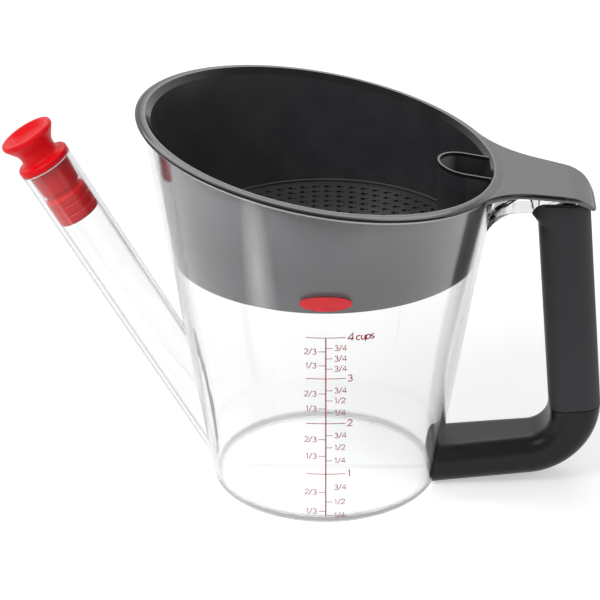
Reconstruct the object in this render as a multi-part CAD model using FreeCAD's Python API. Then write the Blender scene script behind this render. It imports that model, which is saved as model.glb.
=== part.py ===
"""Gravy fat separator: a clear tapered jug with a slanted rim and a spout that rises from its base, a black
lift-out strainer whose rim runs out over the handle, a red spout stopper, and a handle of a hard frame in a
soft grip.

Millimetres.  +Z is up, +X points to the handle, -X to the spout, and -Y is the front that carries the badge.
The origin is the centre of the jug's base.  One STEP file is written for each piece.
"""
import FreeCAD, Part
import math
import os

# ---- driving dimensions ----------------------------------------------------------------------------------
# Jug: a cone standing on its narrow end, with its rim in a slanted plane that falls towards the handle.
BASE_RADIUS = 49.6            # outside, where the wall's line meets the table
WALL_DRAFT = 9.6              # degrees that the wall leans out
JUG_WALL = 2.2                # wall, measured level
FLOOR_THICKNESS = 2.6
BASE_EDGE_RADIUS = 3.0
FLOOR_CORNER_RADIUS = 2.0
RIM_HEIGHT = 160.2            # rim plane at the jug's axis
RIM_TILT = 10.0               # degrees that the rim plane falls towards +X
LIP_OVERHANG = 1.3            # the jug's lip stands out from its wall
LIP_HEIGHT = 1.6

# Spout: a straight tapered tube that opens into the jug just above its floor.
SPOUT_ANGLE = 59.7            # degrees above the table
SPOUT_FOOT_HEIGHT = 39.0      # where its axis crosses the jug's outside
SPOUT_LENGTH = 128.2          # from there to the mouth
SPOUT_RADIUS = 11.85          # outside, at the mouth
SPOUT_TAPER = 0.35            # degrees that the outside narrows towards the foot
BORE_RADIUS = 9.85            # at the mouth
BORE_TAPER = 0.25             # degrees that the bore narrows towards the foot

# Strainer: a cup that hangs in the jug's mouth by its rim.
CUP_CLEARANCE = 0.35          # level gap between the cup and the jug
CUP_WALL = 1.5
CUP_DEPTH = 49.2              # from the jug's rim at its axis down to the cup's lower edge
CUP_FLOOR_RAISE = 0.6         # the cup's lower edge stands below the floor plate
CUP_FLOOR_THICKNESS = 2.0
CUP_LEDGE_WIDTH = 0.9         # a narrow ledge runs round the wall's foot, on the floor plate
CUP_LEDGE_HEIGHT = 1.1
CUP_RIM_OVERHANG = 2.3        # the strainer's rim stands out from the jug's wall
CUP_RIM_SIDE = 0.95           # height where its top's slope would meet its outer side
CUP_RIM_RISE = 0.8            # the rim's inner edge stands higher than that
CUP_RIM_SHOULDER = 1.4        # width of the rounded shoulder between side and top
CUP_RIM_SHOULDER_DROP = 0.65  # and its height on the outer side
CUP_RIM_FLARE = 1.95          # the rim's opening widens by this from the cup's inside
CUP_RIM_FLARE_START = 0.6     # and begins to widen this far under the jug's rim
CUP_RIM_ROUND = 0.3           # rounding of the rim's inner edge
RING_PITCH = 5.3              # between the rings of the hole pattern
HOLES_PER_RING = 6            # in the first ring, and as many more in each further ring
HOLE_RADIUS = 1.12
SMALL_HOLE_RADIUS = 0.52
SMALL_HOLE_SHIFT = 1.9        # the small hole of each pair lies this far towards the handle
HOLE_MARGIN = 4.6             # plain band between the cup's wall and the hole pattern

# Vent: a thin-walled chute inside the cup, on the handle side, open at both ends.
VENT_WIDTH = 24.0             # outside
VENT_REACH = 22.5             # from the cup's wall at the rim to the chute's round nose
VENT_WALL = 1.0
VENT_DROP = 0.05              # its top edge lies this far under the tab's top

# Handle: a lower arm on the jug's foot, an elbow, and an upright that leans out towards its foot.
ARM_LENGTH = 63.3             # from the base's edge to the corner where the axes of arm and upright meet
ARM_CORNER_HEIGHT = 15.3
ARM_RISE = 5.7                # degrees that the arm rises away from the jug
ELBOW_OUTER_RADIUS = 34.5
ELBOW_INNER_RADIUS = 10.5
SEAM_RUN = 22.0               # from the corner of the axes up to the soft grip's seam
GRIP_LEAN = 4.84              # degrees from upright
ARM_FOOT_HALF_WIDTH = 16.3    # half sizes across (Y) and through the arm at the jug
ARM_FOOT_HALF_DEPTH = 8.7
ARM_END_HALF_DEPTH = 9.2      # through the arm where the elbow starts
ARM_GROUND_GAP = 0.4          # the arm's underside is flat here, clear of the table
GRIP_HALF_WIDTH = 14.3
GRIP_HALF_DEPTH = 11.3
HANDLE_ROUND = 7.4            # corner radius of the handle's section
SLEEVE_THICKNESS = 2.6        # of the soft grip
SEAM_GAP = 0.4                # between the soft grip and the elbow
GRIP_TOP_BELOW_TAB = 5.45     # from the tab's top to the grip's level top, at the grip's axis
BEAK_REACH = 2.8              # the grip's top edge stands out towards the jug
BEAK_HEIGHT = 4.9             # of the beak's front above its tip
BEAK_RUN = 1.0                # its front leans back by this over that height
BEAK_START = 10.0             # the beak's underside begins this far under the grip's top
BEAK_FULL = 5.6               # and reaches its full width this far under it
BEAK_TOP_ROUND = 5.5          # between the beak's front and the grip's level top

# Bridge: the jug's own clear arm, which carries the top of the handle.
BRIDGE_HALF_WIDTH = 13.8
BRIDGE_ROUND = 18.0           # fillet between the bridge's underside and the jug's wall
BRIDGE_EDGE_ROUND = 3.2
BRIDGE_CLEARANCE = 0.3        # under the tab
BRIDGE_CAP = 0.7              # least thickness over the end of the grip
BRIDGE_END_INSET = 1.0        # the bridge ends this far inside the grip's outer face
TONGUE_LENGTH = 26.0          # the bridge's tongue inside the handle frame
TONGUE_DEPTH = 8.0
TONGUE_WIDTH = 14.0
TONGUE_CLEARANCE = 0.15

# Tab: the strainer's rim runs out over the handle and turns down at its end.
TAB_HALF_WIDTH = 23.6         # where the lines of its sides would meet the ring
TAB_SIDE_TAPER = 10.8         # degrees that each side closes in
TAB_NECK_RADIUS = 36.0        # concave fillet between ring and tab
TAB_END_HALF_WIDTH = 16.3
TAB_END_RADIUS = 14.0         # of the corners of its end
TAB_BEND_RADIUS = 16.7
TAB_BEND_SWEEP = 58.5         # degrees that its end turns down
TAB_BEND_PAST_GRIP = 1.7      # the bend starts this far past the grip's axis
TAB_THICKNESS = 2.4           # square through its flat part
TAB_THINNING = 1.2            # it is thinner by this at its end
TAB_UNDERCUT = 3.0            # its underside slopes up to the jug's lip over this width
TAB_EDGE_ROUND = 0.7          # round its top

# Stopper: one piece of silicone, turned about the spout's axis.  Heights are measured out of the mouth.
KNOB_RADIUS = 12.2
KNOB_HEIGHT = 16.2
KNOB_EDGE = 2.0               # thickness of the knob's rim
KNOB_EDGE_ROUND = 0.9
KNOB_LAND = 2.2               # width of the rim around the knob's hollow top
KNOB_DISH = 2.4               # depth of the hollow
KNOB_DISH_RUN = 4.2           # width of the hollow's slope
KNOB_DISH_ROUND = 5.0
NECK_RADIUS = 8.15
NECK_LOW_ROUND = 2.2
NECK_HIGH_ROUND = 6.0
FLANGE_RADIUS = 11.9
FLANGE_THICKNESS = 3.2
FLANGE_ROUND = 1.3
PLUG_CLEARANCE = 0.12         # of its ribs in the bore
PLUG_TAPER = 0.9              # the upper plug narrows by this before the notch
UPPER_PLUG_LENGTH = 12.6
UPPER_PLUG_ROUND = 1.0
NOTCH_HEIGHT = 1.8
NOTCH_RADIUS = 7.2
NOTCH_ROUND = 0.5
LOWER_PLUG_ROUND = 1.4
LOWER_PLUG_LENGTH = 13.4
RIB_COUNT = 3
RIB_DEPTH = 0.5
RIB_GROOVE = 0.5              # half the width of the groove between two ribs
PLUG_END_ROUND = 1.8

# Badge: a plain raised oval on the jug's front.
BADGE_WIDTH = 22.0
BADGE_HEIGHT = 7.0
BADGE_THICKNESS = 0.7
BADGE_ABOVE_CUP_EDGE = 5.6    # its centre above the cup's lower edge
BADGE_SHIFT = 0.9             # its centre lies this far towards the handle

# ---- derived places ----------------------------------------------------------------------------------------
REACH = 400.0                 # larger than the whole object
DRAFT = math.tan(math.radians(WALL_DRAFT))
FALL = math.tan(math.radians(RIM_TILT))
TOP = RIM_HEIGHT + 2 * BASE_RADIUS * FALL + 20
CUP_BOTTOM = RIM_HEIGHT - CUP_DEPTH
CUP_FLOOR_TOP = CUP_BOTTOM + CUP_FLOOR_RAISE + CUP_FLOOR_THICKNESS
CUP_OUTSIDE = -JUG_WALL - CUP_CLEARANCE             # offsets from the jug's wall
CUP_INSIDE = CUP_OUTSIDE - CUP_WALL
RIM_INSIDE = CUP_INSIDE + CUP_RIM_FLARE
RIM_CREST = CUP_RIM_SIDE + CUP_RIM_RISE             # above the jug's rim
LEAN = math.tan(math.radians(GRIP_LEAN))
CORNER_X = BASE_RADIUS + ARM_LENGTH


def vec(x, y, z):
    return FreeCAD.Vector(x, y, z)


UP = vec(0, 0, 1)
ACROSS = vec(0, 1, 0)
CENTRE = vec(0, 0, 0)


def jug_radius(z):
    """Outer radius of the jug's wall at a height."""
    return BASE_RADIUS + z * DRAFT


# The strainer's rim is a ring as seen from above, and the slant of the rim plane shifts its centre.
RING_X = -jug_radius(RIM_HEIGHT) * DRAFT * FALL
RING_RADIUS = jug_radius(RIM_HEIGHT) + CUP_RIM_OVERHANG


def tab_top(x):
    """Height of the tab's flat top above the table."""
    return RIM_HEIGHT + CUP_RIM_SIDE - x * FALL


# The grip's top lies on its leaning axis, a set depth under the tab.
GRIP_TOP_X = (CORNER_X - (tab_top(0) - GRIP_TOP_BELOW_TAB - ARM_CORNER_HEIGHT) * LEAN) / (1 - FALL * LEAN)
GRIP_TOP = tab_top(GRIP_TOP_X) - GRIP_TOP_BELOW_TAB
BEAK_X = GRIP_TOP_X - GRIP_HALF_DEPTH - BEAK_REACH
BRIDGE_UNDERSIDE = GRIP_TOP - BEAK_HEIGHT
BEND_X = GRIP_TOP_X + TAB_BEND_PAST_GRIP
BEND_CENTRE = vec(
    BEND_X - TAB_BEND_RADIUS * math.sin(math.radians(RIM_TILT)),
    0,
    tab_top(BEND_X) - TAB_BEND_RADIUS * math.cos(math.radians(RIM_TILT)),
)

# Spout: the foot is where its axis crosses the wall, and the mouth lies up the axis from there.
SPOUT_WAY = vec(-math.cos(math.radians(SPOUT_ANGLE)), 0, math.sin(math.radians(SPOUT_ANGLE)))
SPOUT_FOOT = vec(-jug_radius(SPOUT_FOOT_HEIGHT), 0, SPOUT_FOOT_HEIGHT)
MOUTH = SPOUT_FOOT + SPOUT_WAY * SPOUT_LENGTH


# ---- shapes shared by the pieces ---------------------------------------------------------------------------
def in_xz(a, b):
    return vec(a, 0, b)


def in_xy(a, b):
    return vec(a, b, 0)


def rounded_wire(corners, place):
    """A closed wire through corners (a, b, radius), each rounded by its radius, put in space by place."""
    count = len(corners)
    spots = [FreeCAD.Vector(a, b, 0) for a, b, radius in corners]
    runs = []
    for i, (a, b, radius) in enumerate(corners):
        here = spots[i]
        back = (spots[i - 1] - here).normalize()
        ahead = (spots[(i + 1) % count] - here).normalize()
        half = back.getAngle(ahead) / 2
        if radius <= 0:
            runs.append((here, None, here))
            continue
        cut = radius / math.tan(half)
        middle = (back + ahead).normalize()
        mid = here + middle * (radius / math.sin(half) - radius)
        runs.append((here + back * cut, mid, here + ahead * cut))
    edges = []
    for i, (start, mid, end) in enumerate(runs):
        if mid is not None:
            on_arc = [place(p.x, p.y) for p in (start, mid, end)]
            edges.append(Part.Arc(*on_arc).toShape())
        following = runs[(i + 1) % count][0]
        if (following - end).Length > 1e-6:
            on_line = [place(p.x, p.y) for p in (end, following)]
            edges.append(Part.LineSegment(*on_line).toShape())
    return Part.Wire(edges)


def turned(corners):
    """A solid turned about the Z axis from corners (radius, height, rounding)."""
    return Part.Face(rounded_wire(corners, in_xz)).revolve(CENTRE, UP, 360)


def drawn_across(wire, half_width):
    """A wire in the XZ plane drawn out to both sides of it."""
    solid = Part.Face(wire).extrude(ACROSS * (2 * half_width))
    solid.translate(ACROSS * -half_width)
    return solid


def cone(offset, bottom, top):
    """The space inside the jug's outer wall moved out by offset, between two heights."""
    low = jug_radius(bottom) + offset
    high = jug_radius(top) + offset
    return Part.makeCone(low, high, top - bottom, vec(0, 0, bottom))


def under_rim(raise_by):
    """All space under the rim plane raised by a distance."""
    space = Part.makeBox(2 * REACH, 2 * REACH, REACH, vec(-REACH, -REACH, -REACH))
    space.rotate(CENTRE, ACROSS, RIM_TILT)
    space.translate(UP * (RIM_HEIGHT + raise_by))
    return space


def along_spout(solid):
    """Moves a solid made about the Z axis to the spout's axis, with its origin at the mouth."""
    solid.rotate(CENTRE, ACROSS, SPOUT_ANGLE - 90)
    solid.translate(MOUTH)
    return solid


def bend_points(inset, thinning):
    """The tab's side line lowered by inset, which shrinks by thinning round the bend.

    The points are its start over the jug's axis, and the start, middle and end of the bend.
    """
    bend = []
    for part in (0, 0.5, 1):
        turn = math.radians(RIM_TILT + TAB_BEND_SWEEP * part)
        radius = TAB_BEND_RADIUS - inset + thinning * part
        bend.append(BEND_CENTRE + vec(math.sin(turn), 0, math.cos(turn)) * radius)
    return [bend[0] + vec(-BEND_X, 0, BEND_X * FALL)] + bend


def bend_edges(points):
    start, bend, middle, end = points
    return [Part.LineSegment(start, bend).toShape(), Part.Arc(bend, middle, end).toShape()]


def tab_side():
    """The tab's outline from the side: thinner towards the end of its bend."""
    top = bend_points(0, 0)
    low = bend_points(TAB_THICKNESS, TAB_THINNING)
    start = Part.LineSegment(low[0], top[0]).toShape()
    end = Part.LineSegment(top[3], low[3]).toShape()
    back = [edge.reversed() for edge in reversed(bend_edges(low))]
    return Part.Wire([start] + bend_edges(top) + [end] + back)


def below_tab(drop):
    """The side outline of the space under the tab, a further drop below it."""
    line = bend_points(TAB_THICKNESS + drop, TAB_THINNING)
    around = [line[3], vec(REACH, 0, line[3].z), vec(REACH, 0, 0), CENTRE, line[0]]
    return Part.Wire(bend_edges(line) + Part.makePolygon(around).Edges)


def under_bridge():
    """The room for the top of the grip: under its level top, behind the beak's front, below the cap."""
    room = drawn_across(below_tab(BRIDGE_CLEARANCE + BRIDGE_CAP), 2 * GRIP_HALF_WIDTH)
    far = GRIP_TOP_X + 4 * GRIP_HALF_DEPTH
    level = [
        (BEAK_X, 0, 0),
        (far, 0, 0),
        (far, GRIP_TOP, 0),
        (BEAK_X + BEAK_RUN, GRIP_TOP, BEAK_TOP_ROUND),
        (BEAK_X, BRIDGE_UNDERSIDE, 0),
    ]
    return room.common(drawn_across(rounded_wire(level, in_xz), 2 * GRIP_HALF_WIDTH))


def spout_bore():
    """The spout's bore, run on past its mouth and through the jug's wall."""
    narrowing = math.tan(math.radians(BORE_TAPER))
    past = 10.0
    long = SPOUT_LENGTH + 3 * SPOUT_RADIUS
    low = BORE_RADIUS - long * narrowing
    high = BORE_RADIUS + past * narrowing
    return along_spout(Part.makeCone(low, high, long + past, vec(0, 0, -long)))


# ---- jug ---------------------------------------------------------------------------------------------------
def jug_outside():
    """The jug's outer form, closed and taller than its rim."""
    return turned([
        (0, 0, 0),
        (BASE_RADIUS, 0, BASE_EDGE_RADIUS),
        (jug_radius(TOP), TOP, 0),
        (0, TOP, 0),
    ])


def jug_inside():
    """The space inside the jug."""
    return turned([
        (0, FLOOR_THICKNESS, 0),
        (jug_radius(FLOOR_THICKNESS) - JUG_WALL, FLOOR_THICKNESS, FLOOR_CORNER_RADIUS),
        (jug_radius(TOP) - JUG_WALL, TOP, 0),
        (0, TOP, 0),
    ])


def bridge():
    """The clear arm from the jug's wall over the end of the grip, with its fillet under the wall."""
    low = BRIDGE_UNDERSIDE - 2 * BRIDGE_ROUND
    end = GRIP_TOP_X + GRIP_HALF_DEPTH - BRIDGE_END_INSET
    side = [
        (jug_radius(low) - 2 * JUG_WALL, low, 0),
        (jug_radius(BRIDGE_UNDERSIDE), BRIDGE_UNDERSIDE, BRIDGE_ROUND),
        (end, BRIDGE_UNDERSIDE, 0),
        (end, TOP, 0),
        (BASE_RADIUS, TOP, 0),
        (BASE_RADIUS, low, 0),
    ]
    under_tab = drawn_across(below_tab(BRIDGE_CLEARANCE), BRIDGE_HALF_WIDTH)
    arm = drawn_across(rounded_wire(side, in_xz), BRIDGE_HALF_WIDTH).common(under_tab)
    lower = [e for e in arm.Edges if is_bridge_edge(e)]
    return arm.makeFillet(BRIDGE_EDGE_ROUND, lower)


def is_bridge_edge(edge):
    """True on the bridge's lower long edges, clear of the grip."""
    box = edge.BoundBox
    on_side = abs(abs(box.Center.y) - BRIDGE_HALF_WIDTH) < 0.01 and box.YLength < 0.01
    return on_side and box.ZMax < BRIDGE_UNDERSIDE + 0.01 and box.XMin > jug_radius(0) + 0.01


def tongue(clearance):
    """The bridge's tongue, square to the grip's leaning axis, grown by a clearance on its sides and end."""
    depth = TONGUE_DEPTH + 2 * clearance
    width = TONGUE_WIDTH + 2 * clearance
    length = TONGUE_LENGTH + clearance
    over = 2 * BRIDGE_CAP
    block = Part.makeBox(depth, width, length + over, vec(-depth / 2, -width / 2, -length))
    block.rotate(CENTRE, ACROSS, -GRIP_LEAN)
    block.translate(vec(GRIP_TOP_X, 0, GRIP_TOP))
    return block


def make_jug():
    lip = cone(LIP_OVERHANG, RIM_HEIGHT / 2, TOP).cut(under_rim(-LIP_HEIGHT))
    body = jug_outside().fuse([lip, bridge()]).common(under_rim(0))
    body = body.cut(under_bridge())
    under_tab = drawn_across(below_tab(BRIDGE_CLEARANCE), BRIDGE_HALF_WIDTH)
    body = body.fuse(tongue(0).common(under_tab))
    return body.cut(jug_inside()).cut(spout_bore()).removeSplitter()


# ---- spout -------------------------------------------------------------------------------------------------
def make_spout_tube():
    """The tube from the jug's wall to the mouth, cut to the wall at its foot."""
    narrowing = math.tan(math.radians(SPOUT_TAPER))
    long = SPOUT_LENGTH + 3 * SPOUT_RADIUS
    tube = Part.makeCone(SPOUT_RADIUS - long * narrowing, SPOUT_RADIUS, long, vec(0, 0, -long))
    return along_spout(tube).cut(spout_bore()).cut(jug_outside())


# ---- strainer ----------------------------------------------------------------------------------------------
def cup_outside(bottom, top):
    return cone(CUP_OUTSIDE, bottom, top)


def cup_inside(bottom, top):
    return cone(CUP_INSIDE, bottom, top)


def slanted_ellipse(offset, raise_by):
    """Where the jug's wall moved out by offset meets the rim plane raised by a distance."""
    level = RIM_HEIGHT + raise_by
    near = -(jug_radius(level) + offset) / (1 - DRAFT * FALL)
    far = (jug_radius(level) + offset) / (1 + DRAFT * FALL)
    middle_x = (near + far) / 2
    middle = vec(middle_x, 0, level - middle_x * FALL)
    half_width = math.sqrt((jug_radius(middle.z) + offset) ** 2 - middle_x ** 2)
    ellipse = Part.Ellipse(vec(far, 0, level - far * FALL), middle + ACROSS * half_width, middle)
    return Part.Wire([ellipse.toShape()])


def rim():
    """The strainer's rim, filled in: an upright side, a rounded shoulder, and a top that rises inwards."""
    steps = 3
    slope = CUP_RIM_RISE / (CUP_RIM_OVERHANG - RIM_INSIDE)
    profile = [(CUP_RIM_OVERHANG, 0)]
    for step in range(steps + 1):
        part = step / steps
        across = CUP_RIM_OVERHANG - CUP_RIM_SHOULDER * part ** 2
        up = CUP_RIM_SIDE - CUP_RIM_SHOULDER_DROP * (1 - part) ** 2 + CUP_RIM_SHOULDER * slope * part ** 2
        profile.append((across, up))
    profile.append((RIM_INSIDE, RIM_CREST))
    return Part.makeLoft([slanted_ellipse(*point) for point in profile], True, True)


def rim_opening():
    """The rim's opening, which widens upwards from the cup's inside."""
    wires = [slanted_ellipse(CUP_INSIDE, -CUP_RIM_FLARE_START), slanted_ellipse(RIM_INSIDE, RIM_CREST)]
    return Part.makeLoft(wires, True, True)


def tab_side_at(x):
    """Half the tab's width between the lines of its sides."""
    return TAB_HALF_WIDTH - math.tan(math.radians(TAB_SIDE_TAPER)) * (x - (RING_X + RING_RADIUS))


def tab_plan():
    """The tab's outline from above, run back inside the ring."""
    closing = math.tan(math.radians(TAB_SIDE_TAPER))
    lean = math.hypot(1, closing)

    # The neck's centre is one neck radius from the side's line and from the ring.
    rise = tab_side_at(RING_X) + TAB_NECK_RADIUS * lean
    square = 1 + closing ** 2
    half = closing * rise / square
    far = math.sqrt(half ** 2 + ((RING_RADIUS + TAB_NECK_RADIUS) ** 2 - rise ** 2) / square)
    neck = vec(RING_X + half + far, rise - closing * (half + far), 0)
    to_ring = (vec(RING_X, 0, 0) - neck).normalize()
    to_side = vec(-closing, -1, 0) * (1 / lean)
    on_ring = neck + to_ring * TAB_NECK_RADIUS
    on_side = neck + to_side * TAB_NECK_RADIUS
    on_arc = neck + (to_ring + to_side).normalize() * TAB_NECK_RADIUS
    past_end = BEND_X + TAB_BEND_RADIUS
    corner = vec(past_end, tab_side_at(past_end), 0)

    def mirrored(p):
        return vec(p.x, -p.y, p.z)

    back = vec(RING_X + RING_RADIUS / 2, on_ring.y, 0)
    return Part.Wire([
        Part.LineSegment(back, on_ring).toShape(),
        Part.Arc(on_ring, on_arc, on_side).toShape(),
        Part.LineSegment(on_side, corner).toShape(),
        Part.LineSegment(corner, mirrored(corner)).toShape(),
        Part.LineSegment(mirrored(corner), mirrored(on_side)).toShape(),
        Part.Arc(mirrored(on_side), mirrored(on_arc), mirrored(on_ring)).toShape(),
        Part.LineSegment(mirrored(on_ring), mirrored(back)).toShape(),
        Part.LineSegment(mirrored(back), back).toShape(),
    ])


def tab_end():
    """Where the tab's top ends on the bend, and the turn there."""
    return bend_points(0, 0)[3]


def tab_end_room():
    """A slot with a round end, drawn square to the tab's end, that trims the tab's corners."""
    length = REACH / 2
    corner_run = 0.85 * TAB_END_RADIUS
    tapered = TAB_END_HALF_WIDTH + corner_run * math.tan(math.radians(TAB_SIDE_TAPER))
    wide = max(tapered, tab_side_at(BEND_X))
    outline = rounded_wire([
        (-length, length / 2, 0),
        (-corner_run, length / 2, 0),
        (-corner_run, wide, 0),
        (0, TAB_END_HALF_WIDTH, TAB_END_RADIUS),
        (0, -TAB_END_HALF_WIDTH, TAB_END_RADIUS),
        (-corner_run, -wide, 0),
        (-corner_run, -length / 2, 0),
        (-length, -length / 2, 0),
    ], in_xy)
    room = Part.Face(outline).extrude(UP * length)
    room.translate(UP * (-length / 2))
    room.rotate(CENTRE, ACROSS, RIM_TILT + TAB_BEND_SWEEP)
    room.translate(tab_end())
    return room


def tab():
    """The tab, rounded along its top and clear of the jug's lip."""
    plate = Part.Face(tab_plan()).extrude(UP * TOP)
    plate = plate.common(drawn_across(tab_side(), REACH / 4)).common(tab_end_room())
    plate = plate.makeFillet(TAB_EDGE_ROUND, [e for e in plate.Edges if is_tab_outline(e)])
    clear = LIP_OVERHANG + CUP_CLEARANCE
    lip_room = [slanted_ellipse(clear, 0), slanted_ellipse(clear + TAB_UNDERCUT, -TAB_THICKNESS)]
    return plate.cut(Part.makeLoft(lip_room, True, True))


def is_tab_outline(edge):
    """True on the edges round the tab's top, beyond the ring."""
    box = edge.BoundBox
    across = box.XLength < 0.01 and box.XMax < BEND_X + 0.01
    if across or box.XMax < jug_radius(RIM_HEIGHT):
        return False
    middle = edge.valueAt((edge.FirstParameter + edge.LastParameter) / 2)
    if middle.x < BEND_X:
        return abs(middle.z - tab_top(middle.x)) < 0.01
    return abs(math.hypot(middle.x - BEND_CENTRE.x, middle.z - BEND_CENTRE.z) - TAB_BEND_RADIUS) < 0.01


def vent_prism(inset):
    """The chute's level section drawn upwards: straight sides and a round nose."""
    half = VENT_WIDTH / 2 - inset
    nose_x = cup_wall_x(RIM_HEIGHT) - VENT_REACH + VENT_WIDTH / 2
    box = Part.makeBox(jug_radius(TOP) - nose_x, 2 * half, TOP, vec(nose_x, -half, 0))
    return box.fuse(Part.makeCylinder(half, TOP, vec(nose_x, 0, 0))).removeSplitter()


def cup_wall_x(z):
    """Where the cup's inner wall meets the +X axis at a height, for the slanted rim above it."""
    return (jug_radius(z) + CUP_INSIDE) / (1 + DRAFT * FALL)


def make_strainer_cup():
    wall = cup_outside(CUP_BOTTOM, TOP).common(under_rim(0))
    shell = rim().fuse([wall, tab()]).cut([cup_inside(CUP_BOTTOM, TOP), rim_opening()]).removeSplitter()
    shell = shell.makeFillet(CUP_RIM_ROUND, [e for e in shell.Edges if is_rim_edge(e)])
    chute = vent_prism(0).cut(vent_prism(VENT_WALL)).common(cup_outside(CUP_BOTTOM, TOP))
    chute = chute.common(under_rim(CUP_RIM_SIDE - VENT_DROP))
    return shell.fuse([ledge(), chute]).removeSplitter()


def ledge():
    """The narrow ledge on the floor plate, clear of the vent's inside."""
    top = CUP_FLOOR_TOP + CUP_LEDGE_HEIGHT
    inner = jug_radius(CUP_FLOOR_TOP) + CUP_INSIDE - CUP_LEDGE_WIDTH
    ring = cup_outside(CUP_FLOOR_TOP, top)
    return ring.cut([Part.makeCylinder(inner, TOP), vent_prism(VENT_WALL)])


def is_rim_edge(edge):
    """True on the inner edge of the rim's top."""
    box = edge.BoundBox
    inner = jug_radius(RIM_HEIGHT + RIM_CREST) + RIM_INSIDE
    return box.ZMin > CUP_FLOOR_TOP + CUP_DEPTH / 4 and abs(box.YMax - inner) < 0.5 and box.YLength > inner


def make_strainer_floor():
    """The perforated plate inside the cup's foot, with the vent's chute passing through it."""
    bottom = CUP_FLOOR_TOP - CUP_FLOOR_THICKNESS
    plate = cup_inside(bottom, CUP_FLOOR_TOP).cut(vent_prism(0))
    return plate.cut(Part.makeCompound(hole_drills(bottom)))


def hole_drills(bottom):
    """Drills for the hole pattern: rings of large holes, with a small hole beside each."""
    reach = jug_radius(CUP_FLOOR_TOP) + CUP_INSIDE - HOLE_MARGIN
    keep_out = vent_prism(-HOLE_MARGIN / 2)
    drills = []
    for ring in range(1, int(reach / RING_PITCH) + 1):
        count = HOLES_PER_RING * ring
        for hole in range(count):
            turn = math.pi / 2 + 2 * math.pi * hole / count
            spot = vec(math.cos(turn), math.sin(turn), 0) * (RING_PITCH * ring) + UP * (bottom - 1)
            for shift, radius in ((0, HOLE_RADIUS), (SMALL_HOLE_SHIFT, SMALL_HOLE_RADIUS)):
                centre = spot + vec(shift, 0, 0)
                if not keep_out.isInside(centre, 0.01, True):
                    drills.append(Part.makeCylinder(radius, CUP_FLOOR_THICKNESS + 2, centre))
    return drills


# ---- handle ------------------------------------------------------------------------------------------------
def section(centre, turn, half_width, half_depth, radius):
    """A rounded rectangle square to the handle's path, which runs at an angle turn above the +X axis."""
    through = vec(-math.sin(turn), 0, math.cos(turn))

    def place(a, b):
        return centre + ACROSS * a + through * b

    corners = [
        (half_width, half_depth, radius),
        (-half_width, half_depth, radius),
        (-half_width, -half_depth, radius),
        (half_width, -half_depth, radius),
    ]
    return rounded_wire(corners, place)


ARM_TURN = math.radians(ARM_RISE)
GRIP_TURN = math.radians(90 + GRIP_LEAN)
CORNER = vec(CORNER_X, 0, ARM_CORNER_HEIGHT)
ARM_WAY = vec(math.cos(ARM_TURN), 0, math.sin(ARM_TURN))
GRIP_WAY = vec(math.cos(GRIP_TURN), 0, math.sin(GRIP_TURN))
SEAM = CORNER + GRIP_WAY * SEAM_RUN


def corner_arc(above_arm, inside_grip, radius):
    """Points round the corner between a line along the arm and a line along the grip.

    The lines lie a distance above the arm's axis and a distance inside the grip's axis.
    """
    steps = 6
    between = GRIP_TURN - ARM_TURN
    corner = CORNER + (GRIP_WAY * above_arm - ARM_WAY * inside_grip) * (1 / math.sin(between))
    to_hub = vec(-math.sin(ARM_TURN), 0, math.cos(ARM_TURN))
    hub = corner - ARM_WAY * (radius * math.tan(between / 2)) + to_hub * radius
    turns = [ARM_TURN + between * step / steps for step in range(steps + 1)]
    return [hub + vec(math.sin(turn), 0, -math.cos(turn)) * radius for turn in turns]


def elbow_sections():
    """Sections round the elbow, each reaching from its large outer arc to its small inner arc."""
    outer = corner_arc(-ARM_END_HALF_DEPTH, -GRIP_HALF_DEPTH, ELBOW_OUTER_RADIUS)
    inner = corner_arc(ARM_END_HALF_DEPTH, GRIP_HALF_DEPTH, ELBOW_INNER_RADIUS)
    wires = []
    for low, high in zip(outer, inner):
        through = high - low
        turn = math.atan2(-through.x, through.z)
        wires.append(section((low + high) * 0.5, turn, GRIP_HALF_WIDTH, through.Length / 2, HANDLE_ROUND))
    return wires


def arm_and_elbow():
    """The hard lower part of the handle: flat just above the table, cut to the jug's wall and at the seam."""
    start = CORNER - ARM_WAY * ((CORNER_X - BASE_RADIUS + HANDLE_ROUND) / ARM_WAY.x)
    foot = section(start, ARM_TURN, ARM_FOOT_HALF_WIDTH, ARM_FOOT_HALF_DEPTH, HANDLE_ROUND)
    past_seam = SEAM + GRIP_WAY * GRIP_HALF_DEPTH
    stub = section(past_seam, GRIP_TURN, GRIP_HALF_WIDTH, GRIP_HALF_DEPTH, HANDLE_ROUND)
    bends = elbow_sections()
    arm = Part.makeLoft([foot, bends[0]], True, True)
    elbow = Part.makeLoft(bends, True, False)
    upright = Part.makeLoft([bends[-1], stub], True, True)
    ground = Part.makeBox(REACH, REACH, REACH, vec(-REACH / 2, -REACH / 2, ARM_GROUND_GAP - REACH))
    above_seam = Part.makeBox(REACH, REACH, REACH, vec(-REACH / 2, -REACH / 2, 0))
    above_seam.rotate(CENTRE, ACROSS, -GRIP_LEAN)
    above_seam.translate(SEAM)
    return arm.fuse([elbow, upright]).cut([ground, above_seam, cone(0, 0, TOP)])


def core():
    """The frame's upright inside the soft grip, under the bridge."""
    half_width = GRIP_HALF_WIDTH - SLEEVE_THICKNESS
    half_depth = GRIP_HALF_DEPTH - SLEEVE_THICKNESS
    radius = HANDLE_ROUND - SLEEVE_THICKNESS / 2
    top = SEAM + GRIP_WAY * (GRIP_TOP - SEAM.z + BEAK_HEIGHT)
    wires = [section(p, GRIP_TURN, half_width, half_depth, radius) for p in (SEAM, top)]
    return Part.makeLoft(wires, True, True).common(under_bridge())


def make_handle_frame():
    return arm_and_elbow().fuse(core()).cut(tongue(TONGUE_CLEARANCE)).removeSplitter()


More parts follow.
